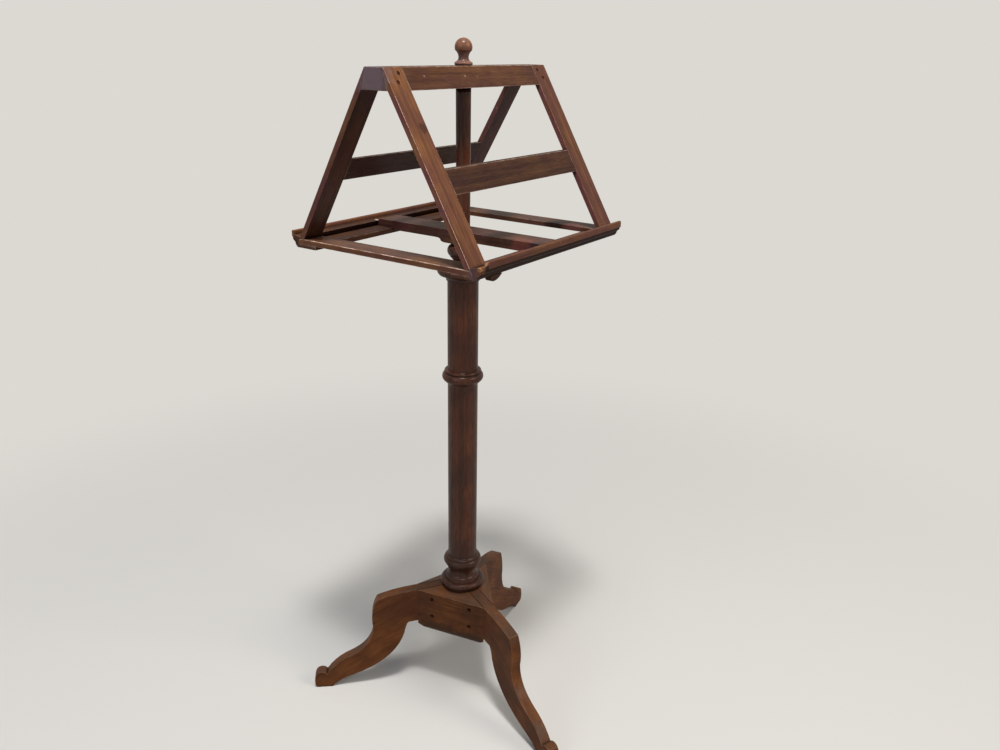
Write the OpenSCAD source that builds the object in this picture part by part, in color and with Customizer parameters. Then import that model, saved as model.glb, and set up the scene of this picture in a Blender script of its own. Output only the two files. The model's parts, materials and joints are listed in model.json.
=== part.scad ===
// Duet music stand: a ridge-shaped double desk that turns on a turned column and tripod.
// The floor is at height 0. X runs along the ridge, Y from the front desk to the back one.

/* [Overall] */
// Height of the top of the ridge beam above the floor
ridge_top = 1335; // [1150:5:1500]
// Length of the desk along the ridge
desk_len = 472; // [400:2:560]
// Thickness of the flat stock of the desk
stock = 10; // [8:0.5:13]
// Width of the flat stock of the desk
stock_w = 44; // [36:1:52]

/* [Desk frames] */
// Height of a frame, from the top of the end rails to the top of the ridge beam
frame_h = 300; // [270:1:340]
// Slope of the frames: outward travel for each millimetre down
slope = 0.58; // [0.45:0.01:0.7]
// Half width of the top of the ridge beam
ridge_half = 19.8; // [16:0.2:26]
// Height of the ridge beam
ridge_h = 36; // [30:1:46]
// Depth of the top edge of the mid rails below the top of the ridge beam
mid_drop = 154; // [110:1:190]
// Height of a mid rail, measured straight down
mid_h = 39; // [30:1:46]
// Thickness of the tenons of the mid rails
tenon_t = 4; // [3:0.5:6]
// Length of the tenons of the mid rails
tenon_len = 22; // [12:1:30]
// Shoulder above and below each tenon
tenon_shoulder = 5; // [3:0.5:8]
// Length of the stub tenons at the feet of the stiles
stub_len = 6; // [4:0.5:8]
// Thickness of the stub tenons
stub_t = 5; // [3:0.5:6]
// Shoulder at each edge of the stub tenons
stub_shoulder = 8; // [4:0.5:12]

/* [Foot frame of the desk] */
// Depth of the housings in the long rails, in which the end rails lie
housing = 3.3; // [2:0.1:5]
// Width of the cross rail
cross_w = 54; // [46:1:64]
// Thickness of the cross rail
cross_t = 18; // [14:0.5:24]
// Height of the top of the cross rail above the long rails
cross_rise = 14; // [10:0.5:16]
// Extra depth of the cross rail at its middle, under the post
boss_drop = 8; // [4:0.5:12]
// Half length of the thick middle of the cross rail
boss_half = 22; // [16:1:30]
// Length of each ogee shoulder beside the thick middle
boss_run = 24; // [16:1:34]

/* [Ledges] */
// Width of a ledge beyond the long rail, to the outer face of the lip
ledge_w = 15.3; // [12:0.1:20]
// Thickness of a lip
lip_t = 6.5; // [5:0.5:8]
// Height of a lip
lip_h = 12; // [8:0.5:16]
// Height of the bed above the bottom of the ledge, at the frame
bed_in = 20.2; // [17:0.2:24]
// Rise of the bed from the frame to the lip
bed_rise = 2.6; // [1:0.2:4]
// Height of the bottom of the lip above the bottom of the ledge
lip_low = 18.4; // [15:0.2:20]
// Length of the rub block under the front ledge
rub_len = 32; // [24:1:60]
// Thickness of the rub block
rub_t = 10; // [5:0.5:12]
// Depth of the rub block from front to back
rub_w = 12; // [8:1:16]
// Distance from the left end of the ledge to the rub block
rub_in = 47; // [20:1:60]
// Reach of the rub block in under the long rail
rub_seat = 9; // [6:0.5:12]

/* [Post and finial] */
// Radius of the post under the ridge beam
post_r_top = 14; // [11:0.25:16]
// Radius of the post at the cross rail
post_r_low = 13.25; // [10:0.25:15]
// Radius of the tenon in the ridge beam
post_tenon_r = 9.5; // [7:0.5:11]
// Height of the bulb and its neck, from the cap to the cross rail
swivel_h = 51.3; // [46:0.1:64]
// Largest radius of the bulb under the cross rail
bulb_r = 30.5; // [24:0.5:36]
// Radius of the shoulder on which the cross rail rests
shoulder_r = 21; // [17:0.5:24]
// Radius of the neck under the bulb
neck_r = 18; // [14:0.5:20]
// Radius of the bearing face at the foot of the post
bearing_r = 25; // [20:0.5:32]
// Radius of the swivel pin
pin_r = 10; // [8:0.25:12]
// Length of the swivel pin below the cap
pin_len = 82; // [60:1:110]
// Running clearance round the swivel pin
pin_gap = 0.06; // [0.02:0.01:0.09]
// Radius of the ball of the finial
ball_r = 15.1; // [12:0.1:18]
// Height of the centre of the ball above the ridge
ball_z = 31.7; // [28:0.1:36]
// Radius of the flared base of the finial
finial_r = 16.5; // [14:0.1:19]
// Radius of the dowel of the finial
dowel_r = 4.5; // [3:0.25:6]
// Length of the dowel of the finial
dowel_len = 13; // [8:0.5:13.5]

/* [Column] */
// Radius of the cap
cap_r = 50; // [42:0.5:58]
// Thickness of the rim of the cap
cap_rim = 10; // [7:0.5:14]
// Height of the hollow moulding under the rim of the cap
cap_cove = 12; // [8:0.5:16]
// Radius of the shaft of the column
shaft_r = 30.5; // [26:0.5:36]
// Radius of the spigot that carries the cap
cap_spigot_r = 20; // [16:0.5:23]
// Height of the spigot that carries the cap
cap_spigot_h = 14; // [8:1:18]
// Depth of the widest part of the mid ring below the bearing face
ring_drop = 221; // [60:1:340]
// Radius of the mid ring
ring_r = 41.8; // [37:0.2:46]
// Radius of the upper torus of the foot
foot_upper_r = 41; // [37:0.5:46]
// Radius of the lower torus of the foot
foot_lower_r = 48.5; // [45:0.5:54]
// Radius of the part of the foot that is let into the hub
foot_seat_r = 42; // [36:0.5:43.5]
// Radius of the tenon under the column
foot_tenon_r = 19; // [15:0.5:22]
// Length of the tenon under the column
foot_tenon_len = 74; // [50:1:84]

// Gap for the glue round the tenon and the seat of the foot
foot_gap = 0.1; // [0.05:0.01:0.1]

/* [Tripod] */
// Reach of a leg from the axis of the column
leg_reach = 334; // [280:1:380]
// Thickness of a leg
leg_t = 24; // [18:0.5:28]
// Height of a leg where it is let into the hub
leg_root = 80; // [72:1:88]
// Height of the hub at its outer edge
hub_top = 246; // [240:1:256]
// Rise of the tops of the blocks for each millimetre inward
hub_pitch = 0.35; // [0.2:0.01:0.45]
// Distance from the axis to the outer face of a hub block
block_face = 60.2; // [55:0.1:66]
// Height of a hub block at its outer face
block_h = 96.5; // [84:0.5:108]
// Chamfer along the lower outer edge of a hub block
block_chamfer = 10; // [5:0.5:14]
// Direction of the first leg, in degrees from the ridge
leg_turn = 11.5; // [0:0.5:30]

/* [Fastenings] */
// Radius of the heads of the hub screws
hub_head_r = 4.2; // [3.5:0.1:5]
// Radius of the shanks of the hub screws
hub_shank_r = 2.2; // [1.6:0.1:2.6]
// Thickness of the heads of the hub screws
hub_head_h = 2; // [1.5:0.25:3]
// Length of the hub screws
hub_screw_len = 25; // [16:1:26]
// Depth at which the heads of the hub screws lie
hub_sink = 5; // [2:0.5:9]
// Distance of the hub screws from the middle of the block
hub_screw_y = 45; // [38:1:50]
// Depth of the upper hub screws below the edge of the hub
hub_screw_high = 15; // [11:0.5:24]
// Depth of the lower hub screws below the edge of the hub
hub_screw_low = 58; // [45:0.5:66]
// Radius of the heads of the stile screws
stile_head_r = 3.6; // [2.8:0.1:4.5]
// Depth of the upper stile screws below the top of the ridge beam
stile_screw_high = 9.5; // [7:0.5:12]
// Depth of the lower stile screws below the top of the ridge beam
stile_screw_low = 23; // [20:0.5:28]
// Distance of the upper stile screws inward from the middle of the stile
stile_screw_in = 9; // [0:0.5:12]
// Length of the stile screws
stile_screw_len = 16; // [12:0.5:18]
// Depth at which the heads of the stile screws lie
stile_sink = 1; // [0.5:0.25:2]
// Radius of the heads of the frame screws
frame_head_r = 3.4; // [2.8:0.1:4]
// Length of the frame screws
frame_screw_len = 14; // [12:0.5:15]
// Radius of the shanks of the smaller screws
shank_r = 1.6; // [1.2:0.1:2]
// Thickness of the heads of the smaller screws
small_head_h = 1.5; // [1:0.1:2]
// Width of the driving slots
slot_w = 1; // [0.6:0.1:1.4]
// Radius of the peg in the ridge beam
peg_r = 3; // [2:0.25:4]
// Gap for the glue round dowels, pegs and small tenons
glue_gap = 0.05; // [0.02:0.01:0.1]

/* [Hidden] */
$fn = 72;

// Distance of the outer face of the frames from the middle, at a height
function face_y(z) = ridge_half + (ridge_top - z) * slope;

// Slanted widths and heights of the head
slant = sqrt(1 + slope * slope);
stock_flat = stock * slant;
half_len = desk_len / 2;
stile_in = half_len - stock_w;
ridge_low = ridge_top - ridge_h;
ridge_mid = ridge_top - ridge_h / 2;
seat_z = ridge_top - frame_h;
seat_y = face_y(seat_z);
mid_top = ridge_top - mid_drop;
mid_low = mid_top - mid_h;
end_low = seat_z - stock;
long_top = end_low + housing;
long_low = long_top - stock;
long_out = face_y(long_top);
long_in = long_out - stock_w;
cross_top = long_top + cross_rise;
cross_low = cross_top - cross_t;
boss_low = cross_low - boss_drop;
lip_out = long_out + ledge_w;
lip_in = lip_out - lip_t;
lip_base = long_low + lip_low;

// Heights along the post and the column
cap_top = boss_low - swivel_h;
bulb_z = boss_low - bulb_r * 0.52;
shaft_top = cap_top - cap_rim - cap_cove;
ring_z = cap_top - ring_drop;

// Place where a leg and its two blocks meet at the edge of the hub, the slope of the legs'
// tops inside it, and the underside of the foot mouldings, which just clears those tops
seam_r = block_face / cos(60) - leg_t / 2 * tan(60);
block_slant = hub_pitch * cos(60);
foot_z = hub_top + (seam_r - foot_seat_r) * block_slant + 0.3;

// Overall reach, from which the column's place in the frame follows
leg_dirs = [leg_turn, leg_turn + 120, leg_turn + 240];
block_dirs = [for (dir = leg_dirs) dir + 60];
toe_side = leg_t / 2;
reach_right = max(half_len, leg_reach * cos(leg_dirs[0]) + toe_side * sin(leg_dirs[0]));
reach_left = max(half_len, -leg_reach * cos(leg_dirs[1]) + toe_side * sin(leg_dirs[1]));
reach_back = max(lip_out, leg_reach * sin(leg_dirs[1]) - toe_side * cos(leg_dirs[1]));
reach_front = max(lip_out, -leg_reach * sin(leg_dirs[2]) - toe_side * cos(leg_dirs[2]));
axis_x = (reach_left - reach_right) / 2;
axis_y = (reach_front - reach_back) / 2;

// Points along an arc, from one angle to another
function arc(cx, cz, rx, rz, a0, a1, n = 8) =
  [for (i = [0:n]) let (a = a0 + (a1 - a0) * i / n) [cx + rx * cos(a), cz + rz * sin(a)]];

// Points along a cubic curve, without its first point
function curve(a, b, c, d, n = 8) =
  [for (i = [1:n]) let (t = i / n, u = 1 - t)
    u * u * u * a + 3 * u * u * t * b + 3 * u * t * t * c + t * t * t * d];

// Places a piece that is drawn about the axis of the column
module on_axis() {
  translate([axis_x, axis_y, 0]) children();
}

// Draws a section in Y and Z and runs it along X between two places
module run_x(x0, x1) {
  translate([x0, 0, 0]) rotate([90, 0, 90]) linear_extrude(x1 - x0) children();
}

// Swings a piece of the front desk round to the back one
module facing(side) {
  if (side == "back") mirror([0, 1, 0]) children();
  else children();
}

// Turned foot, shaft and mid ring of the column, in radius and height
function foot_profile() = concat(
  [[0, hub_top - foot_tenon_len], [foot_tenon_r, hub_top - foot_tenon_len],
   [foot_tenon_r, hub_top], [foot_seat_r, hub_top], [foot_seat_r, foot_z]],
  arc(foot_lower_r - 7.5, foot_z + 8.3, 7.5, 8.4, -78, 80),
  [[foot_lower_r - 9, foot_z + 18.8]],
  curve([foot_lower_r - 9, foot_z + 18.8], [foot_lower_r - 9, foot_z + 27.8],
    [shaft_r + 3, foot_z + 31.8], [shaft_r + 2.2, foot_z + 42.8]),
  arc(foot_upper_r - 9, foot_z + 56.8, 9, 12, -62, 62),
  [[foot_upper_r - 3.4, foot_z + 68.4], [foot_upper_r - 3.4, foot_z + 70.2]],
  curve([foot_upper_r - 3.4, foot_z + 70.2], [foot_upper_r - 7, foot_z + 71.8],
    [shaft_r + 0.6, foot_z + 75.8], [shaft_r, foot_z + 83.8]));

function ring_profile() = concat(
  [[shaft_r, ring_z - 18.5]],
  curve([shaft_r, ring_z - 18.5], [shaft_r + 0.4, ring_z - 14],
    [shaft_r + 3, ring_z - 13], [ring_r - 6.6, ring_z - 11.4], 4),
  arc(ring_r - 7.2, ring_z, 7.2, 8.6, -60, 62),
  [[ring_r - 5.2, ring_z + 8.2]],
  arc(ring_r - 7.4, ring_z + 11.6, 2.4, 2.9, -60, 70, 5),
  curve([ring_r - 6.6, ring_z + 14.4], [shaft_r + 1.6, ring_z + 14.8],
    [shaft_r + 0.3, ring_z + 15.6], [shaft_r, ring_z + 18.5], 4));

module column() {
  color("#4b2a1c") on_axis() difference() {
    rotate_extrude() polygon(concat(foot_profile(), ring_profile(),
      [[shaft_r, shaft_top], [cap_spigot_r, shaft_top],
       [cap_spigot_r, shaft_top + cap_spigot_h], [0, shaft_top + cap_spigot_h]]));
    translate([0, 0, cap_top - pin_len - 2]) cylinder(r = pin_r + pin_gap, h = pin_len);
  }
}

module column_cap() {
  color("#5a3424") on_axis() difference() {
    rotate_extrude() polygon(concat(
      [[0, shaft_top], [shaft_r + 2.5, shaft_top], [shaft_r + 2.5, shaft_top + 2]],
      curve([shaft_r + 2.5, shaft_top + 2], [shaft_r + 4, shaft_top + 8],
        [cap_r - 8, cap_top - cap_rim - 1], [cap_r - 3.5, cap_top - cap_rim - 1]),
      arc(cap_r - cap_rim / 2, cap_top - cap_rim / 2, cap_rim / 2, cap_rim / 2, -80, 80),
      [[cap_r - 6, cap_top], [0, cap_top]]));
    translate([0, 0, shaft_top - 1]) cylinder(r = cap_spigot_r + glue_gap, h = cap_spigot_h + 1);
    translate([0, 0, shaft_top]) cylinder(r = pin_r + pin_gap, h = cap_rim + cap_cove + 1);
  }
}

// Outline of a leg, in distance from the axis and height above the floor. Its curves are
// drawn in shares of the leg's reach and of the hub's height, as on a sawing pattern.
leg_root_low = hub_top - leg_root;
function leg_at(u, v) = [u * leg_reach, v * hub_top];
function leg_outline() = concat(
  [[0, leg_root_low], [0, hub_top + seam_r * block_slant], [seam_r, hub_top]],
  curve([seam_r, hub_top], leg_at(0.374, 0.986), leg_at(0.479, 0.959), leg_at(0.566, 0.909)),
  curve(leg_at(0.566, 0.909), leg_at(0.596, 0.837), leg_at(0.611, 0.724), leg_at(0.596, 0.626)),
  curve(leg_at(0.596, 0.626), leg_at(0.599, 0.48), leg_at(0.665, 0.382), leg_at(0.755, 0.325)),
  curve(leg_at(0.755, 0.325), leg_at(0.814, 0.289), leg_at(0.872, 0.23), leg_at(0.916, 0.14), 5),
  curve(leg_at(0.916, 0.14), leg_at(0.94, 0.182), leg_at(1, 0.176), leg_at(1, 0.073), 9),
  curve(leg_at(1, 0.073), leg_at(1, 0.024), leg_at(0.994, 0), leg_at(0.976, 0), 5),
  [leg_at(0.883, 0)],
  curve(leg_at(0.883, 0), leg_at(0.859, 0.049), leg_at(0.808, 0.085), leg_at(0.734, 0.122), 5),
  curve(leg_at(0.734, 0.122), leg_at(0.539, 0.215), leg_at(0.428, 0.374), leg_at(0.391, 0.545), 9),
  curve(leg_at(0.391, 0.545), leg_at(0.38, 0.61), leg_at(0.374, 0.65), leg_at(0.359, 0.663), 5),
  [[seam_r, leg_root_low]]);

// Cuts the seat and the socket of the column's foot out of the hub
module hub_bores() {
  translate([0, 0, hub_top]) cylinder(r = foot_seat_r + foot_gap, h = block_face);
  translate([0, 0, hub_top - 1.5 * block_h]) cylinder(r = foot_tenon_r + foot_gap, h = 2 * block_h);
}

// Runs its children at the four screws of a block, seen square to the outer face
module at_hub_screws() {
  for (side = [-1, 1])
    for (row = [hub_screw_high, hub_screw_low])
      translate([block_face, side * hub_screw_y, hub_top - row])
        rotate([0, -90, 0]) children();
}

module hub_screw_holes() {
  at_hub_screws() translate([0, 0, -1])
    cylinder(r = hub_shank_r, h = hub_screw_len + hub_sink + 1);
}

module leg(dir) {
  color("#6b4330") on_axis() difference() {
    rotate([0, 0, dir]) translate([0, leg_t / 2, 0]) rotate([90, 0, 0])
      linear_extrude(leg_t) polygon(leg_outline());
    hub_bores();
    for (turn = [-60, 60]) rotate([0, 0, dir + turn]) hub_screw_holes();
  }
}

// Plan of a block: the wedge between two legs, with its outer face square to X
block_half = block_face * tan(60) - leg_t / 2 / cos(60);
block_apex = leg_t / 2 / sin(60);
module hub_block(dir) {
  low = hub_top - block_h;
  high = hub_top + block_face * hub_pitch;
  color("#5d3625") on_axis() difference() {
    rotate([0, 0, dir]) intersection() {
      translate([0, 0, low]) linear_extrude(high - low)
        polygon([[block_apex, 0], [block_face, block_half], [block_face, -block_half]]);
      rotate([90, 0, 0]) linear_extrude(4 * block_half, center = true)
        polygon([[0, low], [block_face - block_chamfer * 0.6, low],
          [block_face, low + block_chamfer], [block_face, hub_top], [0, high]]);
    }
    hub_bores();
    rotate([0, 0, dir]) {
      hub_screw_holes();
      at_hub_screws() translate([0, 0, -1])
        cylinder(r = hub_head_r + 0.2, h = hub_sink + hub_head_h + 1);
    }
  }
}

// A screw with its head at the origin and its point up the Z axis, with a driving slot
module screw(head_r, shank, len, head_h) {
  difference() {
    union() {
      cylinder(r = head_r, h = head_h);
      cylinder(r = shank, h = len);
    }
    translate([-head_r - 1, -slot_w / 2, -1]) cube([2 * head_r + 2, slot_w, 1 + head_h / 3]);
  }
}

module hub_screws() {
  color("#3b2a22") on_axis() for (dir = block_dirs) rotate([0, 0, dir]) at_hub_screws()
    translate([0, 0, hub_sink]) screw(hub_head_r, hub_shank_r, hub_screw_len, hub_head_h);
}

// The run of the peg through the ridge beam and the post, longer than the beam is wide
module peg_bar(gap) {
  translate([0, 0, ridge_mid]) rotate([90, 0, 0])
    cylinder(r = peg_r + gap, h = 6 * ridge_half, center = true);
}

// Turned post with its tenon, bulb and swivel pin
module post() {
  tenon_top = ridge_top - 1;
  color("#5b2f20") on_axis() difference() {
    rotate_extrude() polygon(concat(
      [[0, cap_top - pin_len], [pin_r - 1, cap_top - pin_len], [pin_r, cap_top - pin_len + 2],
       [pin_r, cap_top], [bearing_r, cap_top], [bearing_r, cap_top + 3]],
      curve([bearing_r, cap_top + 3], [bearing_r, cap_top + 6], [neck_r, cap_top + 5],
        [neck_r, cap_top + 11], 6),
      curve([neck_r, cap_top + 11], [neck_r, bulb_z - 16], [bulb_r - 6, bulb_z - 14],
        [bulb_r - 5, bulb_z - 11], 6),
      arc(bulb_r - 12, bulb_z, 12, 12.5, -56, 66, 10),
      curve([bulb_r - 7.1, bulb_z + 11.4], [shoulder_r, bulb_z + 12.6],
        [shoulder_r - 0.5, boss_low - 2], [shoulder_r, boss_low - 1], 5),
      [[shoulder_r, boss_low], [post_r_low, boss_low], [post_r_low, cross_top],
       [post_r_top, ridge_low], [post_tenon_r, ridge_low], [post_tenon_r, tenon_top],
       [0, tenon_top]]));
    translate([0, 0, tenon_top - dowel_len]) cylinder(r = dowel_r + glue_gap, h = dowel_len + 1);
    peg_bar(glue_gap);
  }
}

module finial() {
  neck = ball_r * 0.616;
  color("#5a3022") on_axis() translate([0, 0, ridge_top]) rotate_extrude() polygon(concat(
    [[0, 0.5 - dowel_len], [dowel_r, 0.5 - dowel_len], [dowel_r, 0], [finial_r - 1.5, 0]],
    arc(finial_r - 1.5, 2, 1.5, 2, -90, 90, 6),
    curve([finial_r - 1.5, 4], [finial_r - 3, 8], [neck + 0.5, 10], [neck, 14], 7),
    curve([neck, 14], [neck, 16.5], [neck + 0.8, 17.5],
      [ball_r * cos(-48), ball_z + ball_r * sin(-48)], 4),
    arc(0, ball_z, ball_r, ball_r, -40, 90, 16)));
}

// Section of the ridge beam, flush with the outer faces of the frames
module ridge_section(shrink) {
  low_y = face_y(ridge_low) - shrink;
  polygon([[-ridge_half, ridge_top], [ridge_half, ridge_top],
    [low_y, ridge_low], [-low_y, ridge_low]]);
}

module at_stile_screws() {
  middle = half_len - stock_w / 2;
  for (x = [-1, 1])
    for (at = [[middle - stile_screw_in, stile_screw_high], [middle, stile_screw_low]])
      translate([x * at.x, -face_y(ridge_top - at.y), ridge_top - at.y])
        rotate([-90 - atan(slope), 0, 0]) children();
}

module stile_screw_holes() {
  at_stile_screws() translate([0, 0, -1]) {
    cylinder(r = stile_head_r + 0.1, h = 1 + stile_sink + small_head_h);
    cylinder(r = shank_r, h = 1 + stile_sink + stile_screw_len);
  }
}

module ridge_beam() {
  color("#6a4b38") on_axis() difference() {
    union() {
      run_x(-stile_in, stile_in) ridge_section(0);
      for (x = [-half_len, stile_in]) run_x(x, x + stock_w) ridge_section(stock_flat);
    }
    translate([0, 0, ridge_low - 1]) cylinder(r = post_tenon_r + glue_gap, h = ridge_h + 2);
    peg_bar(glue_gap);
    for (side = ["front", "back"]) facing(side) stile_screw_holes();
  }
}

module ridge_peg() {
  color("#4a2d20") on_axis() intersection() {
    peg_bar(0);
    run_x(-peg_r - 1, peg_r + 1) ridge_section(0);
  }
}

// The stub tenon at the foot of a front stile, reaching some way above the end rail
module stub_tenon(x, above) {
  run_x(x + stub_shoulder, x + stock_w - stub_shoulder)
    translate([(stock_flat - stub_t) / 2 - seat_y, seat_z - stub_len])
      square([stub_t, stub_len + above]);
}

// A stile, with its wedge-shaped top housed in the beam and its foot on the end rail
module stile(side, x) {
  y_top = face_y(ridge_low);
  color("#7d5339") on_axis() facing(side) difference() {
    union() {
      run_x(x, x + stock_w) polygon([[-ridge_half, ridge_top], [-seat_y, seat_z],
        [stock_flat - seat_y, seat_z], [stock_flat - y_top, ridge_low]]);
      stub_tenon(x, 1);
    }
    mid_rail_solid();
    stile_screw_holes();
  }
}

module stile_screws() {
  color("#2c2420") on_axis() for (side = ["front", "back"]) facing(side) at_stile_screws()
    translate([0, 0, stile_sink]) screw(stile_head_r, shank_r, stile_screw_len, small_head_h);
}

// Mid rail between the stiles, with its tenons
module mid_rail_solid() {
  module bar(half, low, high, inset, thick) {
    run_x(-half, half) polygon([[inset - face_y(high), high], [inset - face_y(low), low],
      [inset + thick - face_y(low), low], [inset + thick - face_y(high), high]]);
  }
  bar(stile_in, mid_low, mid_top, 0, stock_flat);
  bar(stile_in + tenon_len, mid_low + tenon_shoulder, mid_top - tenon_shoulder,
    (stock_flat - tenon_t) / 2, tenon_t);
}

module mid_rail(side) {
  color("#6e4a36") on_axis() facing(side) mid_rail_solid();
}

// End rail, from the front ledge to the back one, resting in the long rails
module end_rail(x) {
  color("#75472f") on_axis() difference() {
    run_x(x, x + stock_w) polygon([[-seat_y, seat_z], [seat_y, seat_z], [long_out, long_top],
      [long_out, end_low], [-long_out, end_low], [-long_out, long_top]]);
    for (side = ["front", "back"]) facing(side) stub_tenon(x, 1);
    frame_screw_holes();
  }
}

module at_frame_screws() {
  y = (long_in + long_out) / 2;
  for (x = [-half_len + stock_w / 2, half_len - stock_w / 2, 0])
    for (side = [-1, 1])
      translate([x, side * y, long_low]) children();
}

module frame_screw_holes() {
  at_frame_screws() translate([0, 0, -1]) {
    cylinder(r = frame_head_r, h = 1 + small_head_h);
    cylinder(r = shank_r, h = 1 + frame_screw_len);
  }
}

module frame_screws() {
  color("#3a3230") on_axis() at_frame_screws()
    screw(frame_head_r, shank_r, frame_screw_len, small_head_h);
}

// Long rail with a housing for each end rail
module long_rail(side) {
  color("#5f3b2b") on_axis() facing(side) difference() {
    translate([-half_len, -long_out, long_low]) cube([desk_len, stock_w, stock]);
    for (x = [-half_len - 1, stile_in])
      translate([x, -long_out - 1, end_low]) cube([stock_w + 1, stock_w + 2, stock]);
    frame_screw_holes();
  }
}

// Ledge moulding: the bed at the top, an ovolo below it at the outer side
module ledge(side) {
  low = long_low;
  bed = low + bed_in;
  belly = lip_out - 1.6;
  color("#6f4a35") on_axis() facing(side) run_x(-half_len, half_len) polygon(concat(
    [[-long_out, low], [-long_out, long_top], [-face_y(bed), bed],
     [-lip_in, bed + bed_rise], [-lip_in, lip_base], [-belly, lip_base]],
    arc(-belly + 9, lip_base - 1, 9, 8, 176, 248, 6),
    curve([-belly + 5.6, lip_base - 8.4], [-belly + 6, lip_base - 12],
      [-belly + 9, low + 1], [-belly + 13, low])));
}

// Raised lip along the outer edge of a ledge, rounded at the top
module lip(side) {
  r = lip_t / 2;
  color("#8a6248") on_axis() facing(side) run_x(-half_len, half_len) polygon(concat(
    [[-lip_out, lip_base], [-lip_in, lip_base]],
    arc(-lip_in - r, lip_base + lip_h - r * 0.7, r, r * 0.7, 0, 180, 8)));
}

module ledge_block() {
  x0 = -half_len + rub_in;
  color("#33221b") on_axis() translate([0, rub_seat - long_out, 0]) rotate([90, 0, 0])
    linear_extrude(rub_w) polygon(concat([[x0, long_low], [x0, long_low - rub_t * 0.6]],
      curve([x0, long_low - rub_t * 0.6], [x0 + 3, long_low - rub_t * 1.2],
        [x0 + rub_len * 0.6, long_low - rub_t * 1.1], [x0 + rub_len, long_low])));
}

// Cross rail: let over the long rails at its ends, thicker under the post
module cross_rail() {
  y_end = face_y(cross_top);
  shoulder = boss_half + boss_run;
  ogee = boss_half + boss_run / 2;
  mid_z = (cross_low + boss_low) / 2;
  half = concat(
    [[long_out, long_top], [long_in, long_top], [long_in, cross_low], [shoulder, cross_low]],
    curve([shoulder, cross_low], [shoulder - 7, cross_low], [ogee, cross_low - 1],
      [ogee, mid_z], 6),
    curve([ogee, mid_z], [ogee, boss_low + 1], [boss_half + 5, boss_low], [boss_half, boss_low], 6));
  color("#5c3527") on_axis() difference() {
    run_x(-cross_w / 2, cross_w / 2) polygon(concat([[-y_end, cross_top], [y_end, cross_top]],
      half, [for (i = [len(half) - 1:-1:0]) [-half[i].x, half[i].y]]));
    translate([0, 0, boss_low - 1]) cylinder(r = post_r_low + glue_gap, h = cross_top - boss_low + 2);
    frame_screw_holes();
  }
}

column();
column_cap();
leg(leg_dirs[0]);  // leg_back
leg(leg_dirs[1]);  // leg_left
leg(leg_dirs[2]);  // leg_front
hub_block(block_dirs[0]);  // hub_block_left
hub_block(block_dirs[1]);  // hub_block_front
hub_block(block_dirs[2]);  // hub_block_right
hub_screws();
post();
finial();
ridge_beam();
ridge_peg();
stile("front", -half_len);  // stile_front_left
stile("front", stile_in);  // stile_front_right
stile("back", -half_len);  // stile_back_left
stile("back", stile_in);  // stile_back_right
stile_screws();
mid_rail("front");  // mid_rail_front
mid_rail("back");  // mid_rail_back
end_rail(-half_len);  // end_rail_left
end_rail(stile_in);  // end_rail_right
long_rail("front");  // long_rail_front
long_rail("back");  // long_rail_back
ledge("front");  // ledge_front
ledge("back");  // ledge_back
lip("front");  // lip_front
lip("back");  // lip_back
ledge_block();
cross_rail();
frame_screws();
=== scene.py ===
# Duet music stand in old polished mahogany: its looks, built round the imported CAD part.
import json
import math
import bmesh
import bpy
from mathutils import Euler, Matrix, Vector, noise


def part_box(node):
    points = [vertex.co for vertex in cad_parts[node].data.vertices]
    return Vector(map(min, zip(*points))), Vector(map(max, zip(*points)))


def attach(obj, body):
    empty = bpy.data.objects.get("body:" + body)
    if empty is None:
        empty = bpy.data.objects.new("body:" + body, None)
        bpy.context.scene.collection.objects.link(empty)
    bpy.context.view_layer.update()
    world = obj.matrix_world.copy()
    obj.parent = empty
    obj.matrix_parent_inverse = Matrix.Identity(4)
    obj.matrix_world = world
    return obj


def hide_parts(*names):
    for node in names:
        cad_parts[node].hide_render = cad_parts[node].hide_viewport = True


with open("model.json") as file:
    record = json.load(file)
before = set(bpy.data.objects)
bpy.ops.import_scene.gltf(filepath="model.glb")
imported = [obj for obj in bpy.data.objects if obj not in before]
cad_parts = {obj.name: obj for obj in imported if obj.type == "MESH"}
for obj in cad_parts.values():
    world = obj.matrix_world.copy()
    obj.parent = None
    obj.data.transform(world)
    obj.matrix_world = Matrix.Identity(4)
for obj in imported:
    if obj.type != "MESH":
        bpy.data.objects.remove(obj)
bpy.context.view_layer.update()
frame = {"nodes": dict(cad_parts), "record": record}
nodes = frame["nodes"]

record = frame["record"]
slots = {s["node"]: s["material_slot"] for s in record["subparts"]}

MM = 0.001
cap_low, cap_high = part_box("column_cap")
AXIS = Vector(((cap_low.x + cap_high.x) / 2, (cap_low.y + cap_high.y) / 2, 0))

# Sizes of the stand in millimetres. Heights are above the floor, and places are measured
# from the column's axis. SLOPE is how far a desk's frame runs outwards for each millimetre
# that it falls, and HUB_REACH how far out the seams of the hub go.
SLOPE = 0.58
RIDGE_TOP, RIDGE_HALF = 1335, 19.8
HALF_LEN, STOCK_W = 236, 44
LONG_LOW, LONG_OUT = 1018.3, 197.7
LIP_OUT, LIP_T, LIP_BASE, LIP_H = 213.0, 6.5, 1036.7, 12
HUB_TOP, HUB_REACH = 246, 97
BLOCK_FACE, BLOCK_TURNS = 60.2, (71.5, 191.5, 311.5)
HUB_SCREW_ASIDE, HUB_SCREW_DROPS, HUB_SCREW_SINK = 45, (15, 58), 3
STILE_MIDDLE = HALF_LEN - STOCK_W / 2

TURNED = ("column", "column_cap", "post", "finial")
SMALL = ("ledge_front", "ledge_back", "ledge_block", "ridge_peg")

# A Wave texture repeats after this much of its coordinates
WAVE_PERIOD = 0.3142

# Colour of the floor and of the surround
SURROUND = "#dcd9d3"


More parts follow.
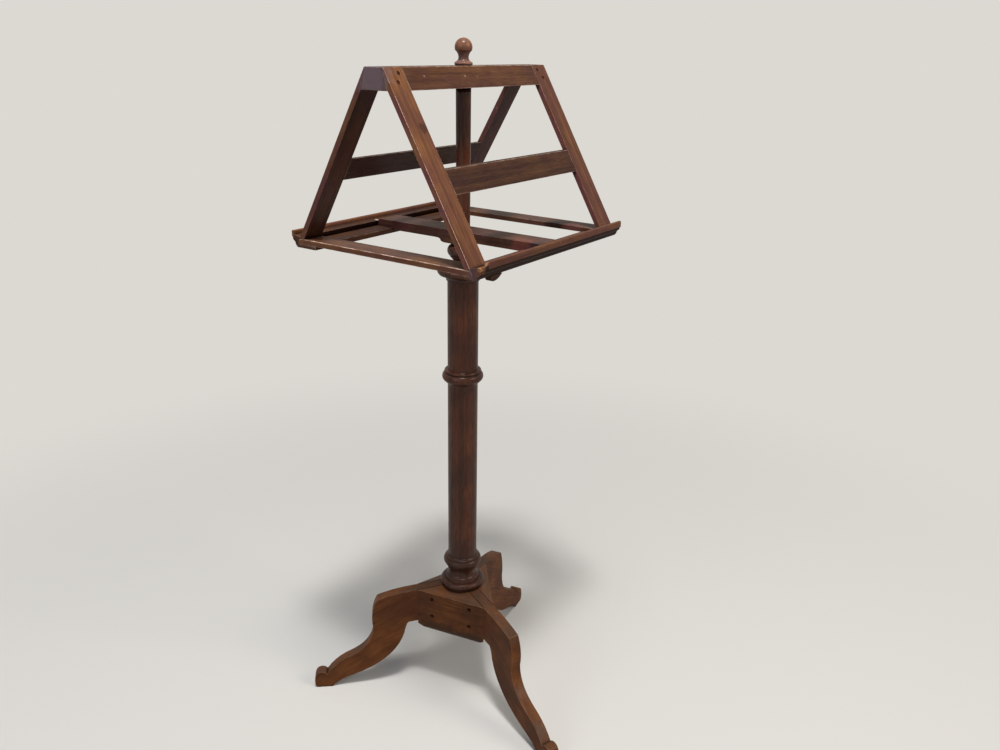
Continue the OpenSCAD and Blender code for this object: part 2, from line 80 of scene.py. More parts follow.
def linear(hex_colour):
    """An sRGB hex colour as linear RGBA."""
    parts = [int(hex_colour[i:i + 2], 16) / 255 for i in (1, 3, 5)]
    return [p / 12.92 if p <= 0.04045 else ((p + 0.055) / 1.055) ** 2.4 for p in parts] + [1]


def add(tree, kind, inputs=None, **settings):
    """Adds a node. Inputs are values, hex colours or the output sockets that feed them, by
    name or by place, and settings are the node's properties. In a Mix of colours 0 is the
    share and 6 and 7 are the colours. In a Map Range 1 and 2 are the range that is read, and
    3 and 4 the range that is given."""
    node = tree.nodes.new(kind)
    for key, value in settings.items():
        setattr(node, key, value)
    for place, value in (inputs or {}).items():
        if isinstance(value, bpy.types.NodeSocket):
            tree.links.new(value, node.inputs[place])
        else:
            hexed = isinstance(value, str) and value.startswith("#")
            node.inputs[place].default_value = linear(value) if hexed else value
    return node


def put_in_scene(name, data):
    """A new object in the scene, at the origin."""
    thing = bpy.data.objects.new(name, data)
    bpy.context.scene.collection.objects.link(thing)
    return thing


def at(x, y, z):
    """A point in metres, from millimetres about the column's axis."""
    return AXIS + Vector((x, y, z)) * MM


def new_material(name):
    material = bpy.data.materials.new(name)
    material.use_nodes = True
    return material, material.node_tree, material.node_tree.nodes["Principled BSDF"]


def mahogany(name, dark, body, light, film, worn, coat, coat_rough, figure_mm=18,
             ring_share=0.25, streak_share=0.6, dent=0.5, marks=()):
    """Cuban mahogany, sawn, planed or turned, then french polished and long used. It gives the
    eye a red-brown body with darker figure, fine streaks and pores along the grain, a purplish
    film of old polish in patches, arrises worn lighter, dust on upper faces, dark seams,
    painted shade in the corners and on undersides, and painted light and shade by face and by
    piece, under a thin clear coat. Its colours are dark, body, light, film and worn. Figure_mm
    is the width of the figure's bands, the two shares say how strong rings and streaks are,
    and dent how deep its dents look. Marks are stains and chips, some of them painted shade or
    a painted highlight: place, radius in mm, colour and share."""
    material, tree, shader = new_material(name)
    grain = add(tree, "ShaderNodeAttribute", attribute_name="grain").outputs["Vector"]
    tone_and_light, rub_and_shade, raw, filmed, dusty = (
        add(tree, "ShaderNodeAttribute", attribute_name=label).outputs["Fac"]
        for label in ("tone_and_light", "rub_and_shade", "raw", "filmed", "dusty"))
    spot = add(tree, "ShaderNodeTexCoord").outputs["Object"]

    # Figure in bands figure_mm wide and 450 mm long
    place = add(tree, "ShaderNodeMapping",
                {0: grain, "Scale": (2.2, 1000 / figure_mm, 1000 / figure_mm)})
    figure = add(tree, "ShaderNodeTexNoise", {0: place.outputs[0], "Scale": 1.0, "Detail": 4.0,
                                              "Roughness": 0.55, "Distortion": 0.6}).outputs[0]
    # Streaks 4 mm wide and 140 mm long
    place = add(tree, "ShaderNodeMapping", {0: grain, "Scale": (7, 250, 250)})
    streaks = add(tree, "ShaderNodeTexNoise", {0: place.outputs[0], "Scale": 1.0,
                                               "Detail": 2.0}).outputs[0]
    # Pores, 0.2 mm wide in the wood, drawn 1.1 mm wide and 22 mm long so that they show
    place = add(tree, "ShaderNodeMapping", {0: grain, "Scale": (45, 900, 900)})
    pores = add(tree, "ShaderNodeTexNoise", {0: place.outputs[0], "Scale": 1.0,
                                             "Detail": 1.0}).outputs[0]
    # Growth rings about 7 mm apart, cut at a slant by the faces
    place = add(tree, "ShaderNodeMapping", {0: grain, "Scale": (0.12, 1, 1)})
    rings = add(tree, "ShaderNodeTexWave",
                {0: place.outputs[0], "Scale": WAVE_PERIOD / (7 * MM), "Distortion": 7.0,
                 "Detail": 2.0, "Detail Scale": 0.6},
                wave_type="RINGS", rings_direction="X").outputs[1]
    # Patches of old polish of about 70 mm
    patches = add(tree, "ShaderNodeTexNoise",
                  {0: spot, "Scale": 14.0, "Detail": 3.0}).outputs[0]
    # Scratches 0.8 mm wide and 14 mm long, across the grain
    place = add(tree, "ShaderNodeMapping", {0: grain, "Rotation": (0.3, 0.4, 1.2),
                                            "Scale": (70, 1200, 70)})
    scuffs = add(tree, "ShaderNodeTexNoise", {0: place.outputs[0], "Scale": 1.0}).outputs[0]
    # Uneven rubbing along an arris, 15 mm at a time
    chatter = add(tree, "ShaderNodeTexNoise",
                  {0: spot, "Scale": 65.0, "Detail": 3.0}).outputs[0]

    # Body, darker figure, lighter streaks and dark rings
    share = add(tree, "ShaderNodeMapRange", {0: figure, 1: 0.38, 2: 0.66, 4: 0.85},
                interpolation_type="SMOOTHSTEP")
    colour = add(tree, "ShaderNodeMix", {0: share.outputs[0], 6: body, 7: dark},
                 data_type="RGBA").outputs[2]
    share = add(tree, "ShaderNodeMapRange", {0: streaks, 1: 0.42, 2: 0.72, 4: streak_share})
    colour = add(tree, "ShaderNodeMix", {0: share.outputs[0], 6: colour, 7: light},
                 data_type="RGBA").outputs[2]
    share = add(tree, "ShaderNodeMath", {0: rings, 1: ring_share}, operation="MULTIPLY")
    colour = add(tree, "ShaderNodeMix", {0: share.outputs[0], 6: colour, 7: dark},
                 data_type="RGBA").outputs[2]
    # Film of old polish and dust, both in patches
    share = add(tree, "ShaderNodeMapRange", {0: patches, 1: 0.4, 2: 0.62, 3: 0.15, 4: 1.0},
                interpolation_type="SMOOTHSTEP")
    dust = add(tree, "ShaderNodeMath", {0: share.outputs[0], 1: dusty}, operation="MULTIPLY")
    share = add(tree, "ShaderNodeMath", {0: share.outputs[0], 1: filmed}, operation="MULTIPLY")
    colour = add(tree, "ShaderNodeMix", {0: share.outputs[0], 6: colour, 7: film},
                 data_type="RGBA").outputs[2]
    colour = add(tree, "ShaderNodeMix", {0: dust.outputs[0], 6: colour, 7: "#5e5144"},
                 data_type="RGBA").outputs[2]
    # Dark pores, broad patches of lighter and darker wood, and the piece's lightness with its
    # painted light and shade
    shade = add(tree, "ShaderNodeMapRange", {0: pores, 1: 0.3, 2: 0.52, 3: 0.75, 4: 1.0})
    broad = add(tree, "ShaderNodeMapRange", {0: patches, 1: 0.3, 2: 0.65, 3: 1.15, 4: 0.7})
    shade = add(tree, "ShaderNodeMath", {0: shade.outputs[0], 1: broad.outputs[0]},
                operation="MULTIPLY")
    shade = add(tree, "ShaderNodeMath", {0: shade.outputs[0], 1: tone_and_light}, operation="MULTIPLY")
    colour = add(tree, "ShaderNodeMix", {0: 1.0, 6: colour, 7: shade.outputs[0]},
                 data_type="RGBA", blend_type="MULTIPLY").outputs[2]
    # Rubbed arrises and light scratches; below 0, dark seams and painted shade on undersides
    share = add(tree, "ShaderNodeMapRange", {0: chatter, 1: 0.38, 2: 0.62, 3: 0.2, 4: 0.95})
    share = add(tree, "ShaderNodeMath", {0: share.outputs[0], 1: rub_and_shade}, operation="MULTIPLY",
                use_clamp=True)
    colour = add(tree, "ShaderNodeMix", {0: share.outputs[0], 6: colour, 7: worn},
                 data_type="RGBA").outputs[2]
    share = add(tree, "ShaderNodeMapRange", {0: scuffs, 1: 0.7, 2: 0.78, 4: 0.12})
    colour = add(tree, "ShaderNodeMix", {0: share.outputs[0], 6: colour, 7: worn},
                 data_type="RGBA").outputs[2]
    share = add(tree, "ShaderNodeMath", {0: rub_and_shade, 1: -0.9}, operation="MULTIPLY",
                use_clamp=True)
    colour = add(tree, "ShaderNodeMix", {0: share.outputs[0], 6: colour, 7: "#1c100b"},
                 data_type="RGBA").outputs[2]
    # Painted shade in the corners, within 8 mm of a joint
    painted_corner_shade = add(tree, "ShaderNodeAmbientOcclusion", {"Distance": 8 * MM}, samples=8)
    share = add(tree, "ShaderNodeMapRange", {0: painted_corner_shade.outputs["AO"], 1: 0.35, 2: 0.85,
                                             3: 0.85, 4: 0.0})
    colour = add(tree, "ShaderNodeMix", {0: share.outputs[0], 6: colour, 7: "#170d09"},
                 data_type="RGBA").outputs[2]
    # Fresh breaks show unpolished wood, orange-brown with darker fibres
    fibres = add(tree, "ShaderNodeMapRange", {0: streaks, 1: 0.35, 2: 0.6})
    fibres = add(tree, "ShaderNodeMix", {0: fibres.outputs[0], 6: "#55301f", 7: "#a87c5a"},
                 data_type="RGBA")
    colour = add(tree, "ShaderNodeMix", {0: raw, 6: colour, 7: fibres.outputs[2]},
                 data_type="RGBA").outputs[2]
    # Marks, each with a ragged edge
    for where, radius, tint, strength in marks:
        far = add(tree, "ShaderNodeVectorMath", {0: spot, 1: where}, operation="DISTANCE")
        ragged = add(tree, "ShaderNodeMath", {0: chatter, 1: -1.1 * radius * MM,
                                              2: far.outputs["Value"]},
                     operation="MULTIPLY_ADD")
        share = add(tree, "ShaderNodeMapRange", {0: ragged.outputs[0], 1: 0.1 * radius * MM,
                                                 2: 0.6 * radius * MM, 3: strength, 4: 0.0})
        colour = add(tree, "ShaderNodeMix", {0: share.outputs[0], 6: colour, 7: tint},
                     data_type="RGBA").outputs[2]
    tree.links.new(colour, shader.inputs["Base Color"])

    # The shine is in the polish, which is thinner over the pores, gone in the dark seams and
    # the painted shade, and gone on raw wood
    gloss = add(tree, "ShaderNodeMapRange", {0: pores, 1: 0.3, 2: 0.6, 3: 0.4 * coat, 4: coat})
    bare = add(tree, "ShaderNodeMapRange", {0: rub_and_shade, 1: -0.5, 2: 0.0, 3: 0.15, 4: 1.0})
    gloss = add(tree, "ShaderNodeMath", {0: gloss.outputs[0], 1: bare.outputs[0]},
                operation="MULTIPLY")
    gloss = add(tree, "ShaderNodeMath", {0: raw, 1: -coat, 2: gloss.outputs[0]},
                operation="MULTIPLY_ADD", use_clamp=True)
    tree.links.new(gloss.outputs[0], shader.inputs["Coat Weight"])
    shader.inputs["Coat Roughness"].default_value = coat_rough
    shader.inputs["Roughness"].default_value = 0.6
    shader.inputs["IOR"].default_value = 1.5
    shader.inputs["Specular IOR Level"].default_value = 0.04
    # Open pores and streaks 0.25 mm deep, over dents and plane waves about 40 mm across
    waves = add(tree, "ShaderNodeTexNoise", {0: spot, "Scale": 25.0, "Detail": 1.0})
    broad = add(tree, "ShaderNodeBump", {"Strength": dent, "Distance": 0.8 * MM,
                                         "Height": waves.outputs[0]})
    relief = add(tree, "ShaderNodeMath", {0: pores, 1: streaks}, operation="ADD")
    fine = add(tree, "ShaderNodeBump", {"Strength": 0.3, "Distance": 0.25 * MM,
                                        "Height": relief.outputs[0],
                                        "Normal": broad.outputs[0]})
    tree.links.new(fine.outputs[0], shader.inputs["Normal"])
    tree.links.new(broad.outputs[0], shader.inputs["Coat Normal"])
    return material


# Marks: a redder patch on the post, the darker foot of the column, painted shade under the
# ball of the finial on its neck, and the finial's paler base
turned = mahogany("turned_mahogany", "#38200f", "#5e3320", "#6c3f28", "#4a2a22", "#93674c",
                  coat=0.5, coat_rough=0.25, figure_mm=14, ring_share=0.05, streak_share=0.35,
                  dent=0.15, marks=((at(-14, -12, 1130), 75, "#713f2e", 0.5),
                                   (at(0, 0, 286), 80, "#33201a", 0.4),
                                   (at(0, 0, 1354), 20, "#3d2620", 0.6),
                                   (at(0, 0, 1338), 28, "#7f6057", 0.55)))
# Marks: two pale specks beside the column, and painted shade along the lower edge of a hub
# block
sawn = mahogany("sawn_mahogany", "#552e15", "#714423", "#82502c", "#5a3424", "#a98262",
                coat=0.2, coat_rough=0.3, ring_share=0.2, marks=(
                    (at(-36.7, 28.4, 250), 4, "#cfc6b8", 0.8),
                    (at(-23, -34.5, 250), 4, "#cfc6b8", 0.8),
                    (at(-69, 38, 147), 30, "#33261e", 0.65),
                    (at(-61, -2, 147), 30, "#33261e", 0.65),
                    (at(-53, -42, 147), 30, "#33261e", 0.65),
                    (at(-47, -72, 150), 28, "#33261e", 0.65)))
# Marks, in this order: a stain on a stile, the grey end of the ridge, two chips in its arris,
# stains and chips at the ends of the cross rail with a painted highlight at its back end,
# stains and chips by the right end rail, and the splintered corner at the broken lip
planed = mahogany("planed_mahogany", "#4a2b1b", "#835636", "#996b47", "#86504f", "#f0cbb4",
                  coat=0.24, coat_rough=0.34, streak_share=0.42, marks=(
                      (at(-202.5, -72.6, 1244), 10, "#33211a", 0.6),
                      (at(-239, 2, 1313), 33, "#7b6c72", 0.75),
                      (at(-144, -28.3, 1320.3), 2.2, "#b09678", 0.5),
                      (at(-34, -29.4, 1319), 2.2, "#b09678", 0.5),
                      (at(-27, -182, 1035), 22, "#37282c", 0.75),
                      (at(-27, -150, 1036), 26, "#7c3f38", 0.5),
                      (at(-27, -122, 1041), 12, "#2c1c18", 0.6),
                      (at(-27, -197, 1040), 5, "#d3c3b0", 0.9),
                      (at(-27, 196, 1040), 5, "#c4b5a2", 0.9),
                      (at(192, -85, 1029), 20, "#251716", 0.8),
                      (at(192, -125, 1028), 24, "#6d3f3d", 0.5),
                      (at(172.6, -179.6, 1028.3), 5, "#d9cbb9", 0.9),
                      (at(-237, -199, 1029), 13, "#6b5053", 0.6),
                      (at(-229, -213, 1033), 11, "#7d4e33", 0.75),
                      (at(-233, -211, 1039), 5, "#b98560", 0.6),
                      (at(-223, -213, 1030), 2.5, "#d3a277", 0.6),
                      (at(-217, -213, 1038), 5.5, "#190e0a", 0.95),
                      (at(-212, -210, 1044), 3.5, "#cfc4b4", 0.5)))


def dulled_steel():
    """Mild steel wood screws, turned, then rusted by damp: dark red-brown, dim shine."""
    material, tree, shader = new_material("dulled_steel")
    spot = add(tree, "ShaderNodeTexCoord").outputs["Object"]
    # Rust in specks of about 1 mm
    rust = add(tree, "ShaderNodeTexNoise",
               {0: spot, "Scale": 900.0, "Detail": 3.0}).outputs[0]
    share = add(tree, "ShaderNodeMapRange", {0: rust, 1: 0.38, 2: 0.62})
    colour = add(tree, "ShaderNodeMix", {0: share.outputs[0], 6: "#4a241a", 7: "#74432f"},
                 data_type="RGBA")
    tree.links.new(colour.outputs[2], shader.inputs["Base Color"])
    gloss = add(tree, "ShaderNodeMapRange", {0: rust, 1: 0.3, 2: 0.7, 3: 0.35, 4: 0.7})
    tree.links.new(gloss.outputs[0], shader.inputs["Roughness"])
    shader.inputs["Metallic"].default_value = 0.7
    return material


steel = dulled_steel()


def grain_and_face(name):
    """The way that the grain of a piece runs, and the way that its outer face looks."""
    side = -1 if "front" in name else 1
    if name.startswith("stile"):
        return Vector((0, side * SLOPE, -1)), Vector((0, side, SLOPE))
    if name.startswith("mid_rail") or name == "ridge_beam":
        return Vector((1, 0, 0)), Vector((0, side, SLOPE))
    if name.startswith("leg"):
        low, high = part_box(name)
        reach = (low + high) / 2 - AXIS
        out = Vector((reach.x, reach.y, 0)).normalized()
        downhill = out * 0.85 + Vector((0, 0, -0.53))
        return downhill, out.cross(Vector((0, 0, 1)))
    if name.startswith("hub_block"):
        low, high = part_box(name)
        out = (low + high) / 2 - AXIS
        return Vector((-out.y, out.x, 0)), Vector((out.x, out.y, 0))
    if name in TURNED:
        return Vector((0, 0, 1)), Vector((1, 0, 0))
    if name.startswith("end_rail") or name in ("cross_rail", "ridge_peg"):
        return Vector((0, 1, 0)), Vector((0, 0, 1))
    return Vector((1, 0, 0)), Vector((0, 0, 1))


# How light each piece is beside the others of its wood. The low values of the back stiles, the
# back mid rail, the front ledge, the long rails and the ledge block are partly painted shade
TONES_AND_SHADE = {"column_cap": 0.9, "post": 0.85, "finial": 3.0, "ridge_beam": 0.55,
         "stile_front_left": 0.9, "stile_front_right": 0.9, "stile_back_left": 0.5,
         "stile_back_right": 0.5, "mid_rail_front": 0.36, "mid_rail_back": 0.28,
         "end_rail_left": 0.8, "end_rail_right": 0.65, "cross_rail": 0.55,
         "ledge_front": 0.2, "lip_front": 0.8, "ledge_back": 0.45, "long_rail_front": 0.5,
         "long_rail_back": 0.5, "ledge_block": 0.3}
# How far arrises are rubbed: PLAIN_RUB, or else a piece's own number
PLAIN_RUB = 0.25
RUBS = {"stile_front_left": 1.8, "stile_front_right": 0.5, "end_rail_left": 0.8,
        "lip_front": 0.5, "ridge_beam": 0.35, "leg_front": 0.3, "leg_left": 0.2,
        "leg_back": 0.2, "hub_block_front": 0.8}


def arc(r, z, wide, high, start, end, n=10):
    """Points of a profile along part of an ellipse about (r, z), from start to end degrees."""
    turns = [math.radians(start + (end - start) * i / n) for i in range(n + 1)]
    return [(r + wide * math.cos(a), z + high * math.sin(a)) for a in turns]


def curve(a, b, c, d, n=8):
    """Points of a profile along a cubic curve, without its first point."""
    shares = [(i / n, 1 - i / n) for i in range(1, n + 1)]
    return [tuple(u ** 3 * a[k] + 3 * u * u * t * b[k] + 3 * u * t * t * c[k] + t ** 3 * d[k]
                  for k in (0, 1)) for t, u in shares]


# Profiles with the quirks and fillets that the turner cut, radius and height in millimetres
PROFILES = {
    "column": [
        (0, 172.4), (19, 172.4), (19, 246.2), (42, 246.2), (42, 256.6),
        *arc(38.7, 264.8, 8.6, 8.2, -72, 86), (36.9, 272.7), (36.4, 273.6), (36.4, 279.4),
        (35.9, 280.4), *curve((35.9, 280.4), (32.6, 281.6), (30.9, 285.5), (30.9, 290.5)),
        *curve((30.9, 290.5), (30.9, 297), (32.8, 302.5), (36.8, 307.6)),
        *arc(31.4, 316.6, 9.2, 9.4, -48, 52), (36.2, 324), (36, 324.6), (36.6, 325.2),
        (36.3, 326), *curve((36.3, 326), (35, 326.2), (33, 327.2), (31.8, 329.6), 5),
        (30.5, 330.2),
        (30.5, 726), *curve((30.5, 726), (30.9, 729.8), (33.2, 731.8), (35.8, 733.6)),
        *arc(34.4, 744, 7.3, 9.1, -66, 64), (36.3, 752.3), (35.9, 752.8),
        *arc(34.6, 755.6, 2.6, 2.9, -50, 85, 6), (32.6, 758.7), (31.3, 758.9), (30.6, 759.6),
        (30.5, 943), (20, 943), (20, 957), (0, 957)],
    "finial": [
        (0, 1322.4), (4.5, 1322.4), (4.5, 1335), (15, 1335),
        *arc(14.3, 1338.2, 2.2, 3, -80, 75), (14, 1341.3), (13.4, 1341.9),
        *curve((13.4, 1341.9), (10.6, 1343.2), (9.2, 1345.6), (9.2, 1348.8)),
        *curve((9.2, 1348.8), (9.2, 1353), (11.6, 1357.6), (14.9, 1360.2)), (15.4, 1361.2),
        *arc(0, 1365.6, 15.9, 16.1, -14, 90, 18)]}


def turning(name):
    """A closed piece from the lathe, with its profile run round the column's axis."""
    steps = 96
    shape = bmesh.new()
    rings = []
    for r, z in PROFILES[name]:
        turns = [2 * math.pi * i / steps for i in range(steps if r > 0.01 else 1)]
        rings.append([shape.verts.new(at(r * math.cos(a), r * math.sin(a), z)) for a in turns])
    for low, high in zip(rings, rings[1:]):
        for i in range(steps):
            j = (i + 1) % steps
            corners = (low[i % len(low)], low[j % len(low)], high[j % len(high)],
                       high[i % len(high)])
            shape.faces.new(dict.fromkeys(corners))
    return bpy.data.meshes.new(name), shape


def merged_copy(name):
    """A welded copy of a CAD node's mesh, with the flat faces of joined pieces made whole."""
    mesh = nodes[name].data.copy()
    mesh.materials.clear()
    shape = bmesh.new()
    shape.from_mesh(mesh)
    bmesh.ops.remove_doubles(shape, verts=shape.verts, dist=1e-6)
    if name not in TURNED:
        bmesh.ops.dissolve_limit(shape, angle_limit=math.radians(0.1), verts=shape.verts,
                                 edges=shape.edges, use_dissolve_boundaries=False)
    return mesh, shape


def round_arrises(shape, width, shortest):
    """Bevels the sharp outer edges that are longer than shortest, and gives the new faces
    material 1."""
    sharp = [e for e in shape.edges if len(e.link_faces) == 2 and e.calc_length() > shortest
             and e.calc_face_angle() > math.radians(30) and e.is_convex]
    bmesh.ops.bevel(shape, geom=sharp, offset=width, offset_type="OFFSET", segments=2,
                    profile=0.5, affect="EDGES", clamp_overlap=True, material=1,
                    miter_outer="ARC")


def broken_lip(side):
    """A lip with slight waves, drawn station by station. The front one has its left end broken
    away to raw wood, and the faces of the break get material 2."""
    front = side == "front"
    radius, crown = LIP_T / 2, LIP_T / 2 * 0.7
    # The section goes up the outer face, over the rounded top and down the inner face
    section = [(0, 0), (0, 2.5), (0, 5), (0, 7.5)]
    for i in range(9):
        a = math.pi * (1 - i / 8)
        section.append((radius + radius * math.cos(a), LIP_H - crown + crown * math.sin(a)))
    section += [(LIP_T, 7.5), (LIP_T, 5), (LIP_T, 2.5), (LIP_T, 0)]
    # Stations are 1.6 mm apart over the break, and 24 more share the rest
    stations = [-HALF_LEN + 1.6 * i for i in range(17)] if front else [-HALF_LEN]
    stations += [stations[-1] + (HALF_LEN - stations[-1]) * i / 24 for i in range(1, 25)]
    shape = bmesh.new()
    rows = []
    for x in stations:
        row = []
        for across, up in section:
            y = -LIP_OUT + across if front else LIP_OUT - across
            place = Vector((x, y, LIP_BASE + up))
            wander = noise.noise(Vector((x * 0.03, y * 0.03, 3.7))) * 0.35
            if up > 8:
                place.z -= abs(wander)
            if front:
                # Splinters stand about 4.6 mm high over 17 mm, then the break climbs steeply
                break_at = 4.6 + 1.5 * noise.noise(Vector((x * 0.35, across * 0.5, 1.3)))
                break_at += max(0, x + HALF_LEN - 17) * 1.1
                place.z = min(place.z, LIP_BASE + break_at)
            row.append(shape.verts.new(at(*place)))
        rows.append(row)
    for i in range(len(rows) - 1):
        for j in range(len(section)):
            k = (j + 1) % len(section)
            face = shape.faces.new((rows[i][j], rows[i][k], rows[i + 1][k], rows[i + 1][j]))
            lowest = min(v.co.z for v in face.verts) / MM - LIP_BASE
            in_break = stations[i] < -HALF_LEN + 23 and lowest > 3 and 2 < j < 14
            if front and in_break:
                face.material_index = 2
    shape.faces.new(rows[0])
    shape.faces.new(rows[-1])
    bmesh.ops.remove_doubles(shape, verts=shape.verts, dist=1e-5)
    bmesh.ops.recalc_face_normals(shape, faces=shape.faces)
    return bpy.data.meshes.new("lip_" + side), shape


def face_state(p, name, along, face):
    """What use, age and the maker left on one face of a piece, with its painted light and
    shade, by attribute.
    """
    rub_and_shade = RUBS.get(name, PLAIN_RUB) if p.material_index == 1 else 0
    # Seams of the hub are dark with wax, and so are the rims of its screw holes
    arm = Vector((p.center.x, p.center.y, 0)) - AXIS
    seam = name.startswith("leg") and arm.length < HUB_REACH * MM
    if name.startswith("hub_block"):
        aside, drop = abs(arm.dot(along)) / MM, HUB_TOP - p.center.z / MM
        upper, lower = HUB_SCREW_DROPS
        hole = abs(aside - HUB_SCREW_ASIDE) < 7 and upper - 7 < drop < lower + 7
        seam = hole or abs(p.normal.z) < 0.3 or p.normal.dot(face) < 0.3
    if p.material_index == 1 and seam:
        rub_and_shade = -1
    # Undersides of the ledges and long rails get painted shade
    if name.startswith(("ledge", "long_rail")) and p.normal.z < -0.2:
        rub_and_shade = -0.5
    # Dust lies on what looks up, and on the desk on level faces alone
    dusty = 0.0
    if p.normal.z > 0.3 and not (p.normal.z < 0.9 and slots[name] == "desk_wood"):
        dusty = (0.1 if name in TURNED else 0.45) * p.normal.z
    if name == "finial":
        dusty = 0.55
    # The outer faces of the desk have lost most of their film, and the rest keeps it
    tone_and_light, filmed = TONES_AND_SHADE.get(name, 1.0), 0.5
    if name.startswith(("stile", "mid", "ridge")):
        open_face = abs(p.normal.y) > 0.7 and p.normal.z > 0.3
        filmed = 0.3 if open_face else 0.9
        # Painted shade and light: faces other than the open one are a little darker, and faces
        # that look along X are lighter, as lit from the side, the back pieces more
        tone_and_light *= 1.0 if open_face else 0.85
        if abs(p.normal.x) > 0.9:
            tone_and_light *= 1.7 if "back" in name else 1.35
    if name.startswith("cross"):
        filmed = 0.8
    # Painted light: the tops of the hub blocks are lighter
    if name.startswith("hub_block") and p.normal.z > 0.9:
        tone_and_light *= 1.4
    return {"rub_and_shade": rub_and_shade, "raw": float(p.material_index == 2), "tone_and_light": tone_and_light,
            "filmed": filmed, "dusty": dusty}


def write_wood(mesh, name, order):
    """Writes a piece's own wood coordinates, and the state of each of its faces."""
    along, face = (v.normalized() for v in grain_and_face(name))
    across = face.cross(along).normalized()
    out = along.cross(across)
    low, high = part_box(name)
    centre = (low + high) / 2
    # Every piece is sawn from its own place in the log, off the pith, and turned ones near it
    pith = Vector((310 * order, 24 + 6 * (order % 5), 38 + 7 * (order % 3))) * MM
    if name in TURNED:
        pith = Vector((0, 12, 20)) * MM
    grain = []
    for v in mesh.vertices:
        local = v.co - centre
        grain += [local.dot(along) + pith.x, local.dot(across) + pith.y,
                  local.dot(out) + pith.z]
    mesh.attributes.new("grain", "FLOAT_VECTOR", "POINT").data.foreach_set("vector", grain)
    states = []
    for p in mesh.polygons:
        states += [face_state(p, name, along, face)] * p.loop_total
        p.material_index = 0
    for label in ("rub_and_shade", "raw", "tone_and_light", "filmed", "dusty"):
        mesh.attributes.new(label, "FLOAT", "CORNER").data.foreach_set(
            "value", [state[label] for state in states])


def smooth(mesh):
    """Shades a mesh smooth, with its edges over 32 degrees kept sharp."""
    for p in mesh.polygons:
        p.use_smooth = True
    mesh.set_sharp_from_angle(angle=math.radians(32))


def keep_faces_flat(piece):
    """Shades the small faces of rounded arrises to suit the large faces beside them."""
    modifier = piece.modifiers.new("even_shading", "WEIGHTED_NORMAL")
    modifier.keep_sharp = True
    seen = piece.evaluated_get(bpy.context.evaluated_depsgraph_get())
    mesh = bpy.data.meshes.new_from_object(seen)
    piece.modifiers.remove(modifier)
    piece.data = mesh


def wood_shape(name):
    """The mesh and the shape of a wooden piece, with its arrises rounded."""
    if name in PROFILES:
        return turning(name)
    if name.startswith("lip"):
        return broken_lip(name[4:])
    mesh, shape = merged_copy(name)
    if name in SMALL:
        round_arrises(shape, 0.35 * MM, 0.3 * MM)
    elif name.startswith("hub_block"):
        round_arrises(shape, 1.3 * MM, 0.4 * MM)
    elif name not in TURNED:
        round_arrises(shape, (1.9 if name == "stile_front_left" else 1.2) * MM, 2 * MM)
    return mesh, shape


finishes = {"turned_wood": turned, "tripod_wood": sawn, "desk_wood": planed}
for body, members in record["behaviour"]["bodies"].items():
    for order, name in enumerate(members):
        if slots[name] not in finishes:
            continue
        mesh, shape = wood_shape(name)
        shape.to_mesh(mesh)
        shape.free()
        write_wood(mesh, name, order)
        mesh.materials.append(finishes[slots[name]])
        smooth(mesh)
        piece = put_in_scene(name + "_wood", mesh)
        if name not in TURNED:
            keep_faces_flat(piece)
        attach(piece, body)
        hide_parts(name)


